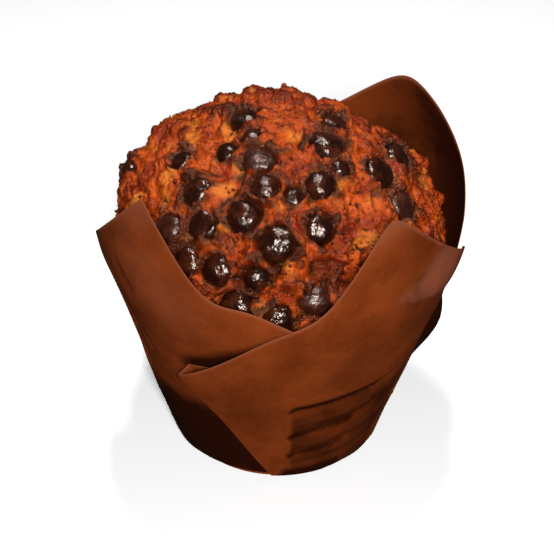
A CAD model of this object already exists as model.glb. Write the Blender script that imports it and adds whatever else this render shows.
"""Looks of the chocolate-chip muffin in its folded paper case, built round the fixed frame."""

import math
import random

import bmesh
import bpy
import numpy as np
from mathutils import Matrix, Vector, noise


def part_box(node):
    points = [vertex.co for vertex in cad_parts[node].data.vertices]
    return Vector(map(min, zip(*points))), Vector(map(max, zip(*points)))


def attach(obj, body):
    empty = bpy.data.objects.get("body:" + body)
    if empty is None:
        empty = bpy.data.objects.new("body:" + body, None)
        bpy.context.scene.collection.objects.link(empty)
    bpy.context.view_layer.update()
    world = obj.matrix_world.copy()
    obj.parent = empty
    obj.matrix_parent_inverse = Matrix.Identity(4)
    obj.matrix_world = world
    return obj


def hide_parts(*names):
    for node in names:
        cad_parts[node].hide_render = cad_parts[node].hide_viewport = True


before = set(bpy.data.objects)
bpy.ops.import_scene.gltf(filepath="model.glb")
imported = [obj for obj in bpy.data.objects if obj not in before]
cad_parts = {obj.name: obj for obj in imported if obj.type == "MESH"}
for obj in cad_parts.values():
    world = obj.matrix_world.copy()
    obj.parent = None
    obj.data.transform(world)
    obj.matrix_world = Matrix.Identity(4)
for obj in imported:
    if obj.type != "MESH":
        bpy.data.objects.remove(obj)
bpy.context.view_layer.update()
MM = 0.001

# Driving sizes of the case, as in the solids.
BASE_RADIUS = 25 * MM
HEEL_LENGTH = 3.2 * MM
HEEL_LEAN = math.radians(45)
WALL_LEAN = math.radians(17)
PETAL_LEAN = math.radians(1.5)
BEND_FROM = 54 * MM
BEND_TO = 68 * MM
LAYER_STEP = 0.5 * MM
PAPER = 0.14 * MM
WALL_FOOT = 0.2 * MM
PLEAT_START = math.radians(1.6)
PETAL_STEP = math.radians(1.5)
MIDDLE_COLUMNS = 8
WALL_ROWS = 64

# Petals: azimuth of the tip, wall length to the tip, layer at the first and last crease, and how
# blunt the corner of the sheet has become.
PETALS = (
    (-129, 93 * MM, 2, 0, 0.0),
    (-58, 92 * MM, 2, 2, 0.010),
    (43, 92 * MM, 0, 0, 0.045),
    (138, 67 * MM, 2, 0, 0.01),
)
# Pleats: azimuths of the start on the base and of the two creases at the rim.
PLEATS = (
    (-88, -66, -121),
    (-30, -9, -50),
    (88, 106, 66),
    (193, 212, 178),
)
# Where the paper springs off the wall: azimuth, height, distance, spread, reach, and the lowest
# and highest layer that does.
STANDOFFS = (
    (-121, 42 * MM, 3.6 * MM, math.radians(24), 14 * MM, 2, 2),
    (-10, 57 * MM, 0.4 * MM, math.radians(15), 11 * MM, 1, 2),
    (-2, 31 * MM, 5.6 * MM, math.radians(10), 11 * MM, 0, 0.5),
    (20, 70 * MM, 3.2 * MM, math.radians(24), 20 * MM, 0, 2),
)
# The wall is pressed in a little on the left: azimuth, height, depth, spread and reach.
SQUEEZE = (194, 48 * MM, 2.6 * MM, math.radians(40), 19 * MM)
# Where the sheet's edge lies lower than a square's would: petal, azimuth, drop and spread.
RIM_DIPS = (
    (1, -126, 9.0 * MM, math.radians(40)),
    (1, -76, 6.5 * MM, math.radians(13)),
    (0, -112, 7.5 * MM, math.radians(12)),
)

CROWN_CENTRE = Vector((0, 0, 50 * MM))
CROWN_RADIUS = 40.0 * MM
CRUMB_CLEARANCE = 0.75 * MM
CRUMB_FLOOR = 0.9 * MM
LOBES = (
    (146, 52, 1.6 * MM, 13),
    (128, 43, -3.0 * MM, 9),
    (52, 42, -3.4 * MM, 17),
    (10, 74, 1.2 * MM, 18),
    (163, 70, 2.1 * MM, 15),
    (-150, 20, -1.0 * MM, 14),
    (-74, 62, -1.6 * MM, 9),
    (-100, 66, -0.8 * MM, 12),
    (-48, 55, 0.8 * MM, 14),
)
# The open hollow at the lower right of the crown: its direction and half width in degrees.
CRATER = Vector((0.27, -0.85, 0.46)).normalized()
CRATER_SPREAD = 8.5
# Scorched places between the chips: direction, half width in degrees, strength.
SCORCHED = (
    (Vector((-0.53, -0.63, 0.57)).normalized(), 15, 0.85),
    (Vector((0.72, 0.04, 0.69)).normalized(), 15, 0.75),
    (Vector((-0.30, 0.10, 0.95)).normalized(), 8, 0.55),
)


def mix(first, last, share):
    return first + (last - first) * share


def smooth_step(low, high, value):
    share = np.clip((value - low) / (high - low), 0.0, 1.0)
    return share * share * (3 - 2 * share)


def deselect_all():
    if bpy.context.object and bpy.context.object.mode != "OBJECT":
        bpy.ops.object.mode_set(mode="OBJECT")
    bpy.ops.object.select_all(action="DESELECT")


def pick(piece):
    deselect_all()
    piece.select_set(True)
    bpy.context.view_layer.objects.active = piece


def finish_piece(piece, name, looks):
    piece.name = name
    piece.data.name = name
    piece.data.materials.clear()
    for look in looks if isinstance(looks, (list, tuple)) else [looks]:
        piece.data.materials.append(look)
    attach(piece, "root")
    return piece


# ---- shader helpers ----


def new_material(name):
    made = bpy.data.materials.new(name)
    made.use_nodes = True
    tree = made.node_tree
    return made, tree, tree.nodes["Principled BSDF"]


def add_node(tree, kind, inputs=None, **settings):
    node = tree.nodes.new(kind)
    for key, value in settings.items():
        setattr(node, key, value)
    for key, value in (inputs or {}).items():
        if isinstance(value, bpy.types.NodeSocket):
            tree.links.new(value, node.inputs[key])
        else:
            node.inputs[key].default_value = value
    return node


def blend(tree, share, first, last, kind="MIX"):
    """Mixes two colours: each may be a socket or four numbers."""
    node = add_node(tree, "ShaderNodeMix", data_type="RGBA", blend_type=kind)
    for key, value in ((0, share), (6, first), (7, last)):
        if isinstance(value, bpy.types.NodeSocket):
            tree.links.new(value, node.inputs[key])
        else:
            node.inputs[key].default_value = value
    return node.outputs[2]


def ramp(tree, value, low, high):
    """A value spread smoothly to 0..1 between two levels."""
    node = add_node(
        tree, "ShaderNodeMapRange",
        {"Value": value, "From Min": low, "From Max": high}, interpolation_type="SMOOTHSTEP",
    )
    return node.outputs["Result"]


def grain_group():
    """The mottling that every look shares: noise on object coordinates."""
    group = bpy.data.node_groups.new("grain", "ShaderNodeTree")
    for name in ("Scale", "Detail", "Roughness"):
        group.interface.new_socket(name, in_out="INPUT", socket_type="NodeSocketFloat")
    group.interface.new_socket("Stretch", in_out="INPUT", socket_type="NodeSocketVector")
    group.interface.new_socket("Mottle", in_out="OUTPUT", socket_type="NodeSocketFloat")
    given = add_node(group, "NodeGroupInput").outputs
    place = add_node(group, "ShaderNodeTexCoord").outputs["Object"]
    place = add_node(group, "ShaderNodeMapping", {"Vector": place, "Scale": given["Stretch"]}).outputs[0]
    mottle = add_node(
        group, "ShaderNodeTexNoise",
        {"Vector": place, "Scale": given["Scale"], "Detail": given["Detail"],
         "Roughness": given["Roughness"]},
    ).outputs["Fac"]
    add_node(group, "NodeGroupOutput", {"Mottle": mottle})
    return group


def grain(tree, scale, detail=4.0, roughness=0.55, stretch=(1.0, 1.0, 1.0)):
    """The shared mottling, its scale in waves to the metre."""
    return add_node(
        tree, "ShaderNodeGroup",
        {"Scale": scale, "Detail": detail, "Roughness": roughness, "Stretch": stretch},
        node_tree=bpy.data.node_groups["grain"],
    ).outputs["Mottle"]


def attribute(tree, name):
    return add_node(tree, "ShaderNodeAttribute", attribute_name=name).outputs["Fac"]


def maths(tree, operation, first, second=0.5):
    node = add_node(tree, "ShaderNodeMath", operation=operation)
    for index, value in enumerate((first, second)):
        if isinstance(value, bpy.types.NodeSocket):
            tree.links.new(value, node.inputs[index])
        else:
            node.inputs[index].default_value = value
    return node.outputs[0]


def bump(tree, height, strength, distance, under=None):
    inputs = {"Height": height, "Strength": strength, "Distance": distance}
    if under is not None:
        inputs["Normal"] = under
    return add_node(tree, "ShaderNodeBump", inputs).outputs["Normal"]


def crust_look():
    """Baked crumb: orange and ochre in the hollows, red-brown caramel on the knobs."""
    made, tree, shader = new_material("crust")
    relief = attribute(tree, "relief")
    cocoa = attribute(tree, "cocoa")
    pale = attribute(tree, "pale")
    patches = grain(tree, 130, 5.0, 0.6)
    speckle = grain(tree, 900, 4.0, 0.65)
    base = blend(tree, ramp(tree, patches, 0.38, 0.64), (0.36, 0.046, 0.0014, 1), (0.17, 0.0105, 0.0008, 1))
    base = blend(tree, ramp(tree, relief, 0.42, 0.85), base, (0.062, 0.0022, 0.0005, 1))
    base = blend(tree, ramp(tree, speckle, 0.54, 0.72), base, (0.33, 0.060, 0.004, 1))
    base = blend(tree, pale, base, (0.45, 0.118, 0.011, 1))
    base = blend(tree, ramp(tree, relief, 0.34, 0.0), base, (0.020, 0.0012, 0.0004, 1))
    base = blend(tree, cocoa, base, (0.022, 0.0030, 0.0008, 1))
    tree.links.new(base, shader.inputs["Base Color"])
    rough = add_node(
        tree, "ShaderNodeMapRange",
        {"Value": grain(tree, 500, 3.0), "From Min": 0.3, "From Max": 0.7,
         "To Min": 0.16, "To Max": 0.50},
    ).outputs["Result"]
    tree.links.new(rough, shader.inputs["Roughness"])
    shader.inputs["Specular IOR Level"].default_value = 0.48
    shader.inputs["Specular Tint"].default_value = (1.0, 0.62, 0.38, 1)
    fine = bump(tree, speckle, 0.9, 0.0010)
    normal = bump(tree, grain(tree, 2600, 3.0), 0.35, 0.0002, fine)
    tree.links.new(normal, shader.inputs["Normal"])
    return made


def chocolate_look(name, colour, worn, roughness, sheen_grain):
    """Baked chocolate: near black and glossy, with a wrinkled skin."""
    made, tree, shader = new_material(name)
    cloud = grain(tree, 320, 4.0)
    tint = blend(tree, ramp(tree, cloud, 0.42, 0.72), colour, worn)
    tree.links.new(tint, shader.inputs["Base Color"])
    rough = add_node(
        tree, "ShaderNodeMapRange",
        {"Value": grain(tree, 700, 3.0), "From Min": 0.3, "From Max": 0.7,
         "To Min": roughness * 0.7, "To Max": roughness * 1.5},
    ).outputs["Result"]
    tree.links.new(rough, shader.inputs["Roughness"])
    shader.inputs["Specular IOR Level"].default_value = 0.46
    shader.inputs["Specular Tint"].default_value = (1.0, 0.84, 0.74, 1)
    skin = bump(tree, grain(tree, 380, 4.0, 0.6), sheen_grain, 0.0016)
    tree.links.new(skin, shader.inputs["Normal"])
    return made


def paper_look():
    """Brown greaseproof paper: soft fibre mottling, paler worn edges, a faint sheen."""
    made, tree, shader = new_material("brown_paper")
    mottle = grain(tree, 75, 6.0, 0.6)
    fibre = grain(tree, 1400, 3.0, 0.6, (1.0, 1.0, 0.35))
    edge = attribute(tree, "edge")
    worn = attribute(tree, "worn")
    soaked = attribute(tree, "soaked")
    base = blend(tree, ramp(tree, mottle, 0.3, 0.72), (0.110, 0.0190, 0.0034, 1), (0.195, 0.0365, 0.0070, 1))
    base = blend(tree, ramp(tree, fibre, 0.5, 1.0), base, (0.20, 0.042, 0.010, 1))
    base = blend(tree, worn, base, (0.25, 0.068, 0.032, 1))
    stain = ramp(tree, maths(tree, "ADD", soaked, maths(tree, "MULTIPLY", mottle, 0.9)), 0.62, 1.25)
    base = blend(tree, stain, base, (0.018, 0.0030, 0.0008, 1))
    base = blend(tree, edge, base, (0.20, 0.055, 0.024, 1))
    tree.links.new(base, shader.inputs["Base Color"])
    shader.inputs["Roughness"].default_value = 0.7
    shader.inputs["Specular IOR Level"].default_value = 0.05
    shader.inputs["Specular Tint"].default_value = (1.0, 0.6, 0.4, 1)
    normal = bump(tree, mottle, 0.25, 0.0012)
    normal = bump(tree, fibre, 0.35, 0.00012, normal)
    tree.links.new(normal, shader.inputs["Normal"])
    return made


def plain_look(name, colour, roughness):
    made, tree, shader = new_material(name)
    tone = blend(tree, grain(tree, 3, 2.0), colour, tuple(c * 0.985 for c in colour[:3]) + (1,))
    tree.links.new(tone, shader.inputs["Base Color"])
    shader.inputs["Roughness"].default_value = roughness
    return made


# ---- the paper case ----


def wall_lean(length):
    if length < HEEL_LENGTH:
        return HEEL_LEAN
    return mix(WALL_LEAN, PETAL_LEAN, smooth_step(BEND_FROM, BEND_TO, length))


def wall_table(step=0.25 * MM):
    """Wall length, radius and height at even steps up the paper."""
    heel_out = HEEL_LENGTH * (math.sin(HEEL_LEAN) - math.cos(HEEL_LEAN) * math.tan(WALL_LEAN))
    radius, height = BASE_RADIUS - heel_out, WALL_FOOT
    rows = []
    for index in range(480):
        rows.append((index * step, radius, height))
        lean = wall_lean((index + 0.5) * step)
        radius += step * math.sin(lean)
        height += step * math.cos(lean)
    return np.array(rows)


def stand_off(azimuth, height, layer):
    total = np.zeros_like(azimuth)
    for centre, level, out, spread, reach, lowest, highest in STANDOFFS:
        away = (azimuth - math.radians(centre) + math.pi) % math.tau - math.pi
        near = out * np.exp(-(away / spread) ** 2 - ((height - level) / reach) ** 2)
        total += np.where((layer >= lowest) & (layer <= highest), near, 0.0)
    return total


def squeeze(azimuth, height):
    """How far the left of the wall is pressed in."""
    centre, level, depth, spread, reach = SQUEEZE
    away = (azimuth - math.radians(centre) + math.pi) % math.tau - math.pi
    return depth * np.exp(-(away / spread) ** 2 - ((height - level) / reach) ** 2)


def straight_line(index, start, end, climb):
    """Azimuth and wall length along a line drawn straight on the flat sheet."""
    petal = PETALS[index]
    tip, tip_length = math.radians(petal[0]), petal[1]
    apex = BASE_RADIUS / math.sin(WALL_LEAN)
    fan = math.sin(WALL_LEAN)
    low_angle, high_angle = (start - tip) * fan, (end - tip) * fan
    rim = (apex + tip_length) / (math.cos(high_angle) + math.hypot(math.sin(high_angle), petal[4]))
    for place, centre, drop, spread in RIM_DIPS:
        if place == index:
            rim -= drop * math.exp(-((end - math.radians(centre)) / spread) ** 2)
    x = mix(apex * math.cos(low_angle), rim * math.cos(high_angle), climb)
    y = mix(apex * math.sin(low_angle), rim * math.sin(high_angle), climb)
    return tip + np.arctan2(y, x) / fan, np.maximum(np.hypot(x, y) - apex, 0)


def petal_columns(index, climb):
    """Columns of the sheet across a petal: azimuths, lengths, layer, and miter."""
    petal, before, after = PETALS[index], PLEATS[index - 1], PLEATS[index]
    turn = math.tau if index == 0 else 0
    tip = math.radians(petal[0])
    first_base = math.radians(before[0]) - PLEAT_START - turn
    first_rim = math.radians(before[2]) - turn
    last_base = math.radians(after[0]) + PLEAT_START
    last_rim = math.radians(after[1])
    left = round((tip - first_rim) / PETAL_STEP)
    right = round((last_rim - tip) / PETAL_STEP)
    columns = []
    for place in range(left + right + 1):
        if place <= left:
            share = place / left
            base, rim = mix(first_base, tip, share), mix(first_rim, tip, share)
        else:
            share = (place - left) / right
            base, rim = mix(tip, last_base, share), mix(tip, last_rim, share)
        layer = mix(petal[2], petal[3], float(smooth_step(0.25, 0.75, place / (left + right))))
        azimuth, length = straight_line(index, base, rim, climb)
        columns.append((azimuth, length, layer, (0, 1), index))
    return columns


def pleat_columns(last, first):
    side = -1 if first[2] > last[2] else 1
    columns = [(*last[:3], (side, 1), last[4]), (*last[:2], 1, (side, -1), last[4])]
    for step in range(1, MIDDLE_COLUMNS + 1):
        share = step / (MIDDLE_COLUMNS + 1)
        azimuth, length = (mix(last[k], first[k], share) for k in (0, 1))
        columns.append((azimuth, length, 1, (0, -1), first[4]))
    columns += [(*first[:2], 1, (side, -1), first[4]), (*first[:3], (side, 1), first[4])]
    return columns


def sheet_columns(climb):
    petals = [petal_columns(index, climb) for index in range(4)]
    columns = []
    for index, petal in enumerate(petals):
        columns += petal[1:-1]
        first = petals[(index + 1) % 4][0]
        if index == 3:
            first = (first[0] + math.tau, *first[1:])
        columns += pleat_columns(petal[-1], first)
    return columns


def near_line(azimuth, height, start, end, width):
    """How close a place on the wall is to a crease between two places, 1 on it."""
    a = np.array([math.radians(start[0]) * 40, start[1]])
    b = np.array([math.radians(end[0]) * 40, end[1]])
    x = azimuth * 40 - a[0]
    y = height / MM - a[1]
    run = b - a
    along = np.clip((x * run[0] + y * run[1]) / (run @ run), 0, 1)
    apart = np.hypot(x - along * run[0], y - along * run[1])
    return np.exp(-(apart / width) ** 2)


# Creases pressed into the outside of the sheet: ends as azimuth and height in mm, and depth.
CREASES = (
    ((-146, 66), (-139, 60), -0.6, 1.0),
    ((-148, 46), (-141, 40), -0.6, 1.1),
    ((-33, 73), (-50, 65), 0.5, 1.0),
    ((-50, 65), (-45, 59), 0.4, 1.0),
    ((-45, 59), (-10, 47), -0.4, 2.0),
    ((-86, 36), (-84, 4), 0.6, 1.2),
    ((-84, 31), (-44, 33), -0.8, 1.3),
    ((-76, 26), (-52, 28), 0.5, 1.1),
    ((-84, 20), (-48, 25), -0.8, 1.3),
    ((-64, 18), (-30, 20), 0.5, 1.1),
    ((-82, 13), (-58, 15), -0.8, 1.2),
    ((-84, 7), (-44, 10), -0.6, 1.1),
)
# Rubbed, paler places: petal, ends as azimuth and height, strength and half width.
RUBBED = (
    (0, (-138, 86), (-126, 92), 0.55, 7.0),
    (0, (-134, 70), (-124, 62), 0.25, 7.0),
    (1, (-64, 83), (-54, 85), 0.55, 3.2),
)
# Fat stains that follow the creases: ends as azimuth and height, strength and half width.
STAINS = (
    ((-84, 32), (-50, 34), 0.8, 1.6),
    ((-84, 29), (-64, 30), 0.5, 2.0),
    ((-84, 20), (-58, 23), 0.7, 1.6),
    ((-62, 23), (-40, 27), 0.5, 1.4),
    ((-84, 12), (-60, 14), 0.7, 1.9),
    ((-84, 3), (-60, 4), 0.8, 4.0),
)
# A turned-over strip by the front right tip, and the patch below that fat has soaked: each lies
# to the left of its lines.
STRIP_EDGES = (((-33, 73), (-50, 65)), ((-48, 61), (-9, 47)))
SOAKED_EDGES = (((-30, 33), (-86, 34)), ((-86, 40), (-84, 0)), ((-36, 0), (-30, 40)))


def left_of(azimuth, height, start, end):
    """Signed distance in millimetres to the left of a line drawn on the wall."""
    run = np.array([(end[0] - start[0]) * 0.7, end[1] - start[1]])
    x = (np.degrees(azimuth) - start[0]) * 0.7
    y = height / MM - start[1]
    return (run[0] * y - run[1] * x) / np.hypot(*run)


def inside(azimuth, height, edges, soft):
    share = np.ones_like(azimuth)
    for start, end in edges:
        share = share * smooth_step(-soft, soft, left_of(azimuth, height, start, end))
    return share


def paper_waves(azimuth, height):
    """Waves, dents and creases across the sheet, in metres out of the wall."""
    waves = np.zeros_like(azimuth)
    for index in np.ndindex(azimuth.shape):
        spot = Vector((math.cos(azimuth[index]), math.sin(azimuth[index]), height[index] / 0.04))
        waves[index] = noise.noise(spot * 1.9) * 0.8 + noise.noise(spot * 5.5) * 0.22
    total = waves * 0.6
    turn = (azimuth + math.pi) % math.tau - math.pi
    for start, end, depth, width in CREASES:
        total += depth * near_line(turn, height, start, end, width)
    return total * MM * smooth_step(2 * MM, 12 * MM, height)


def paper_case(look):
    """One square sheet pleated into four petals, with the folds of the solid it stands for."""
    table = wall_table()
    climb = np.concatenate([[0, 0.02], np.linspace(0.045, 1.0, WALL_ROWS - 2)])
    columns = sheet_columns(climb)
    azimuth = np.array([c[0] for c in columns])
    length = np.array([c[1] for c in columns])
    layer = np.array([c[2] for c in columns])[:, None] * np.ones_like(azimuth)
    miter = np.array([c[3] for c in columns], dtype=float)
    radius = np.interp(length, table[:, 0], table[:, 1])
    height = np.interp(length, table[:, 0], table[:, 2])
    off_wall = smooth_step(0.15, 0.5, climb)[None, :]
    radius = radius + layer * LAYER_STEP + stand_off(azimuth, height, layer) * off_wall
    radius = radius + paper_waves(azimuth, height) - squeeze(azimuth, height)
    out = np.stack([np.cos(azimuth), np.sin(azimuth), np.zeros_like(azimuth)], -1)
    along = np.stack([-out[..., 1], out[..., 0], out[..., 2]], -1)
    middle = out * radius[..., None]
    middle[..., 2] = height
    half = (along * miter[:, None, :1] + out * miter[:, None, 1:]) * (PAPER / 2)
    count, rows = azimuth.shape
    inner = (middle - half).reshape(-1, 3)
    outer = (middle + half).reshape(-1, 3)
    faces = []
    shift = count * rows

    def at(column, row, side):
        return side * shift + (column % count) * rows + row

    for c in range(count):
        for r in range(rows - 1):
            faces.append((at(c, r, 1), at(c + 1, r, 1), at(c + 1, r + 1, 1), at(c, r + 1, 1)))
            faces.append((at(c, r, 0), at(c, r + 1, 0), at(c + 1, r + 1, 0), at(c + 1, r, 0)))
        faces.append((at(c, rows - 1, 1), at(c + 1, rows - 1, 1), at(c + 1, rows - 1, 0), at(c, rows - 1, 0)))
        faces.append((at(c, 0, 0), at(c + 1, 0, 0), at(c + 1, 0, 1), at(c, 0, 1)))
    mesh = bpy.data.meshes.new("case_paper")
    mesh.from_pydata(np.concatenate([inner, outer]).tolist(), [], faces)
    mesh.shade_smooth()
    mesh.set_sharp_from_angle(angle=math.radians(50))
    from_rim = (1 - climb)[None, :] * length.max(1)[:, None]
    edge = np.exp(-(from_rim / (0.5 * MM)) ** 2)
    turn = (azimuth + math.pi) % math.tau - math.pi
    petal = np.array([c[4] for c in columns])[:, None]
    front = (petal == 1) & (layer > 1.5)
    worn = inside(turn, height, STRIP_EDGES, 0.6) * front
    for place, start, end, strength, width in RUBBED:
        worn = np.maximum(worn, strength * near_line(turn, height, start, end, width) * (petal == place))
    soaked = 0.5 * inside(turn, height, SOAKED_EDGES, 1.6)
    for start, end, strength, width in STAINS:
        soaked = np.maximum(soaked, strength * near_line(turn, height, start, end, width))
    shaded = (petal == 0) & (turn < math.radians(-84))
    fading = smooth_step(math.radians(-176), math.radians(-142), turn)
    soaked = soaked * front + 0.85 * shaded * fading * smooth_step(38 * MM, 20 * MM, height)
    under_fold = near_line(turn, height, (-118, 43), (-86, 55), 4.5)
    soaked = np.maximum(soaked, 0.95 * under_fold * (petal == 0))
    turned_away = smooth_step(math.radians(-75), math.radians(-40), turn) * smooth_step(36 * MM, 52 * MM, height)
    soaked = np.maximum(soaked, 0.36 * turned_away * front)
    behind = (petal == 2) * smooth_step(math.radians(105), math.radians(4), turn)
    soaked = np.maximum(soaked, 0.85 * behind)
    for name, values in (("edge", edge), ("worn", worn), ("soaked", soaked)):
        store = mesh.attributes.new(name, "FLOAT", "POINT")
        store.data.foreach_set("value", np.tile(values.reshape(-1), 2).astype(np.float32))
    piece = bpy.data.objects.new("case_paper", mesh)
    bpy.context.scene.collection.objects.link(piece)
    finish_piece(piece, "case_paper", look)
    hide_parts("paper_case")
    return table


def case_base(look):
    """The flat round of paper under the crumb, with a soft heel."""
    deselect_all()
    bpy.ops.mesh.primitive_cylinder_add(
        vertices=96, radius=24.1 * MM, depth=0.5 * MM, location=(0, 0, 0.25 * MM)
    )
    piece = bpy.context.object
    bpy.ops.object.transform_apply(location=True, rotation=False, scale=False)
    soften = piece.modifiers.new("heel", "BEVEL")
    soften.width = 0.2 * MM
    soften.segments = 3
    bpy.ops.object.modifier_apply(modifier="heel")
    bpy.ops.object.shade_smooth_by_angle(angle=math.radians(40))
    finish_piece(piece, "case_base", look)


# ---- the crumb ----


def chip_facts():
    """Centre, half width and name of every chip, read from the frame."""
    facts = []
    for node in sorted(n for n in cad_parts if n.startswith("chip_")):
        low, high = (Vector(corner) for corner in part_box(node))
        facts.append((node, (low + high) / 2, max(high - low) / 2))
    return facts


def lobes(looking):
    total = 0.0
    for centre, lean, rise, spread in LOBES:
        azimuth, fall = math.radians(centre), math.radians(lean)
        level = math.sin(fall)
        toward = Vector((level * math.cos(azimuth), level * math.sin(azimuth), math.cos(fall)))
        apart = math.degrees(looking.angle(toward, 0.0)) / spread
        total += rise * math.exp(-apart * apart)
    return total


def knobs(spot):
    """Rounded grains of crust, packed side by side: 0 in the cracks, 1 on a grain."""
    near = noise.voronoi(spot)[0]
    crack = near[1] - near[0]
    return min(1.0, crack * 1.9) ** 0.6


def crumb_point(looking, chips):
    """A point of the crust in a direction, with its relief, cocoa and paleness."""
    fall = math.acos(max(-1, min(1, looking.z)))
    calm = 1 - float(smooth_step(math.radians(72), math.radians(92), fall))
    warp = noise.noise_vector(looking * 9) * 0.05
    spot = looking + warp
    from_crater = math.degrees(looking.angle(CRATER, 0.0))
    crater_rim = math.exp(-((from_crater - CRATER_SPREAD - 3 * noise.noise(looking * 8)) / 1.7) ** 2)
    lumps = noise.noise(looking * 6.25) * 1.1 + 1.5 * crater_rim
    crags = noise.noise(spot * 12 + Vector((3, 1, 7))) * 0.8
    grains = knobs(spot * 8.0)
    small = knobs(spot * 21 + Vector((5, 5, 5)))
    rough = noise.fractal(spot * 45, 0.9, 2.0, 4)
    where = noise.noise(looking * 4.3 + Vector((1.7, 8.2, 4.4)))
    craggy = float(smooth_step(-0.35, 0.15, where))
    rise = lumps + crags * 2.0 + (grains - 0.7) * 1.5 * craggy + (small - 0.7) * 0.4 + rough * 0.42
    rise -= 0.4
    relief = 0.5 + 0.5 * (grains - 0.6) * craggy + 0.25 * (small - 0.6) + 0.35 * rough + 0.45 * crags
    cocoa = 0.55 * (1 - float(smooth_step(CRATER_SPREAD - 4, CRATER_SPREAD - 1, from_crater)))
    for direction, spread, strength in SCORCHED:
        away = math.degrees(looking.angle(direction, 0.0)) / spread + 0.7 * noise.noise(spot * 13)
        cocoa = max(cocoa, strength * (1 - float(smooth_step(0.35, 1.0, away))))
    for direction, angle, half_width in chips:
        apart = looking.angle(direction, 0.0)
        if apart > angle * 2.1:
            continue
        share = apart / angle
        ragged = share + 0.55 * noise.noise(spot * 14) + 0.2 * noise.noise(spot * 34)
        rise -= half_width / MM * 0.55 * (1 - float(smooth_step(0.5, 0.95, ragged)))
        rise += 0.9 * math.exp(-((ragged - 1.12) / 0.25) ** 2)
        halo = 0.92 - 0.92 * float(smooth_step(0.9, 1.55, share + 0.9 * noise.noise(spot * 17)))
        cocoa = max(cocoa, halo)
    reach = CROWN_RADIUS + (rise * MM + lobes(looking)) * calm
    slope = math.tan(WALL_LEAN)
    level = math.hypot(looking.x, looking.y)
    outward = level - looking.z * slope
    if outward > 1e-6:
        side = (BASE_RADIUS - CRUMB_CLEARANCE + CROWN_CENTRE.z * slope) / outward
        pits = max(0.0, 0.35 + 0.5 * crags - 0.9 * (grains - 0.75) - 0.5 * rough) * MM
        reach = min(reach, side - pits)
    if looking.z < 0:
        reach = min(reach, (CROWN_CENTRE.z - CRUMB_FLOOR) / -looking.z)
    place = CROWN_CENTRE + looking * reach
    pressed = float(squeeze(math.atan2(place.y, place.x), place.z))
    around = math.hypot(place.x, place.y)
    if around > 20 * MM:
        place.x *= 1 - pressed / around
        place.y *= 1 - pressed / around
    return place, relief, cocoa, where


def crumb(look, chips):
    """The baked crumb: a ball shaped to the tapered body and the craggy crown."""
    deselect_all()
    bpy.ops.mesh.primitive_ico_sphere_add(subdivisions=7, radius=1.0, location=(0, 0, 0))
    piece = bpy.context.object
    bpy.ops.object.mode_set(mode="EDIT")
    bpy.ops.mesh.select_all(action="DESELECT")
    shape = bmesh.from_edit_mesh(piece.data)
    for face in shape.faces:
        face.select_set(face.calc_center_median().z > 0.26)
    bmesh.update_edit_mesh(piece.data)
    bpy.ops.mesh.subdivide(number_cuts=1, smoothness=1.0)
    bpy.ops.object.mode_set(mode="OBJECT")
    near = []
    for _, centre, half_width in chips:
        away = centre - CROWN_CENTRE
        near.append((away.normalized(), half_width / away.length, half_width))
    relief, cocoa, pale = [], [], []
    for vertex in piece.data.vertices:
        looking = vertex.co.normalized()
        place, height, dark, where = crumb_point(looking, near)
        vertex.co = place
        relief.append(height)
        cocoa.append(dark)
        patch = noise.noise(looking * 7.5 + Vector((9.1, 2.2, 0.4)))
        pale.append(0.75 * float(smooth_step(0.24, 0.48, patch)))
    for name, values in (("relief", relief), ("cocoa", cocoa), ("pale", pale)):
        store = piece.data.attributes.new(name, "FLOAT", "POINT")
        store.data.foreach_set("value", values)
    bpy.ops.object.shade_smooth()
    finish_piece(piece, "crumb", look)
    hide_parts("muffin")
    return piece


def crust_grains(crust_piece, look):
    """Loose grains of caramelised crumb stuck to the crown."""
    chance = random.Random(11)
    relief = np.zeros(len(crust_piece.data.vertices), dtype=np.float32)
    crust_piece.data.attributes["relief"].data.foreach_get("value", relief)
    spots = [v for v in crust_piece.data.vertices if v.co.z > 52 * MM]
    deselect_all()
    bpy.ops.mesh.primitive_ico_sphere_add(subdivisions=1, radius=1.0)
    seed = bpy.context.object
    shape = [v.co.copy() for v in seed.data.vertices]
    faces = [tuple(p.vertices) for p in seed.data.polygons]
    bpy.data.objects.remove(seed, do_unlink=True)
    points, corners = [], []
    for _ in range(900):
        spot = chance.choice(spots)
        size = mix(0.2, 0.6, chance.random() ** 2) * MM
        normal = spot.normal
        start = len(points)
        squash = [mix(0.5, 1.3, chance.random()) for _ in range(3)]
        for corner in shape:
            bump_out = 1 + 0.8 * noise.noise(corner * 1.7 + Vector((start, 0, 0)))
            local = Vector([corner[k] * squash[k] for k in range(3)]) * bump_out * size
            points.append(spot.co + normal * size * 0.1 + local)
        corners += [tuple(k + start for k in face) for face in faces]
    mesh = bpy.data.meshes.new("crust_grains")
    mesh.from_pydata([tuple(p) for p in points], [], corners)
    mesh.shade_smooth()
    store = mesh.attributes.new("relief", "FLOAT", "POINT")
    store.data.foreach_set("value", [0.75 + 0.4 * noise.noise(p * 200) for p in points])
    piece = bpy.data.objects.new("crust_grains", mesh)
    bpy.context.scene.collection.objects.link(piece)
    finish_piece(piece, "crust_grains", look)


# ---- the chips ----


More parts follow.
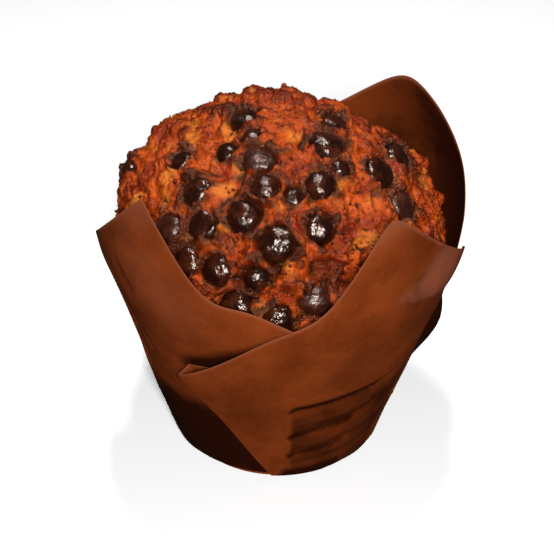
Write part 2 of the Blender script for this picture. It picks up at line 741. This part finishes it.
def chip(node, centre, half_width, look):
    """A chip's own solid, rounded, then softened and dented as it was in the oven."""
    piece = bpy.data.objects[node].copy()
    piece.data = piece.data.copy()
    bpy.context.scene.collection.objects.link(piece)
    pick(piece)
    piece.hide_render = False
    bpy.ops.object.mode_set(mode="EDIT")
    bpy.ops.mesh.select_all(action="SELECT")
    bpy.ops.mesh.remove_doubles(threshold=0.00001)
    bpy.ops.object.mode_set(mode="OBJECT")
    soften = piece.modifiers.new("soften", "SUBSURF")
    soften.levels = soften.render_levels = 3
    bpy.ops.object.modifier_apply(modifier="soften")
    outward = (centre - CROWN_CENTRE).normalized()
    tilt = noise.noise_vector(outward * 17) * 0.5
    outward = (outward + tilt).normalized()
    cap = 0.56 + 0.30 * (noise.cell(outward * 37) % 1.0)
    for vertex in piece.data.vertices:
        away = vertex.co - centre
        dent = noise.noise(vertex.co * 210) * 0.20 + noise.noise(vertex.co * 520) * 0.08
        away *= 1.13 + dent
        up = away.dot(outward)
        flat = cap * half_width
        if up > flat:
            away -= outward * (up - flat) * 0.75
        vertex.co = centre + away
    bpy.ops.object.shade_smooth()
    finish_piece(piece, node.replace("chip", "chocolate"), look)
    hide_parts(node)


# ---- stage ----


def stage():
    deselect_all()
    bpy.ops.mesh.primitive_plane_add(size=6, location=(0, 0, 0))
    floor = bpy.context.object
    floor.name = "floor"
    floor.data.materials.append(plain_look("pale_floor", (0.9, 0.9, 0.9, 1), 0.8))
    floor.visible_diffuse = False
    floor.visible_glossy = False
    world = bpy.data.worlds.new("studio")
    world.use_nodes = True
    world.node_tree.nodes["Background"].inputs["Color"].default_value = (1, 1, 1, 1)
    world.node_tree.nodes["Background"].inputs["Strength"].default_value = 0.05
    bpy.context.scene.world = world
    bpy.context.scene.view_settings.view_transform = "Standard"


def lamp(name, place, aim, size, power):
    light = bpy.data.lights.new(name, "AREA")
    light.size = size
    light.energy = power
    made = bpy.data.objects.new(name, light)
    bpy.context.scene.collection.objects.link(made)
    made.location = place
    made.rotation_euler = (Vector(aim) - Vector(place)).to_track_quat("-Z", "Y").to_euler()


def lights():
    lamp("key", (0.03, -0.50, 0.40), (0, 0, 0.05), 0.10, 6.2)
    lamp("top", (0.00, 0.10, 0.7), (0, 0, 0.06), 0.10, 3.6)


CAMERA_RISE = math.radians(37)
CAMERA_AWAY = 350 * MM
CAMERA_AIM = Vector((0, 0, 43 * MM))
CAMERA_LENS = 94


def camera():
    data = bpy.data.cameras.new("camera")
    data.lens = CAMERA_LENS
    data.sensor_width = 36
    data.clip_start = 0.01
    made = bpy.data.objects.new("camera", data)
    bpy.context.scene.collection.objects.link(made)
    away = Vector((0, -math.cos(CAMERA_RISE), math.sin(CAMERA_RISE))) * CAMERA_AWAY
    made.location = CAMERA_AIM + away
    made.rotation_euler = (-away).to_track_quat("-Z", "Y").to_euler()
    bpy.context.scene.camera = made


def main():
    grain_group()
    camera()
    stage()
    lights()
    brown_paper = paper_look()
    paper_case(brown_paper)
    case_base(brown_paper)
    crust = crust_look()
    chips = chip_facts()
    grains_on = crumb(crust, chips)
    crust_grains(grains_on, crust)
    glossy = chocolate_look("chocolate", (0.009, 0.0018, 0.0007, 1), (0.038, 0.0075, 0.0024, 1), 0.16, 0.38)
    dull = chocolate_look("dull_chocolate", (0.018, 0.0036, 0.0014, 1), (0.050, 0.0115, 0.0045, 1), 0.30, 0.4)
    for index, (node, centre, half_width) in enumerate(chips):
        chip(node, centre, half_width, dull if index % 7 == 3 else glossy)


main()
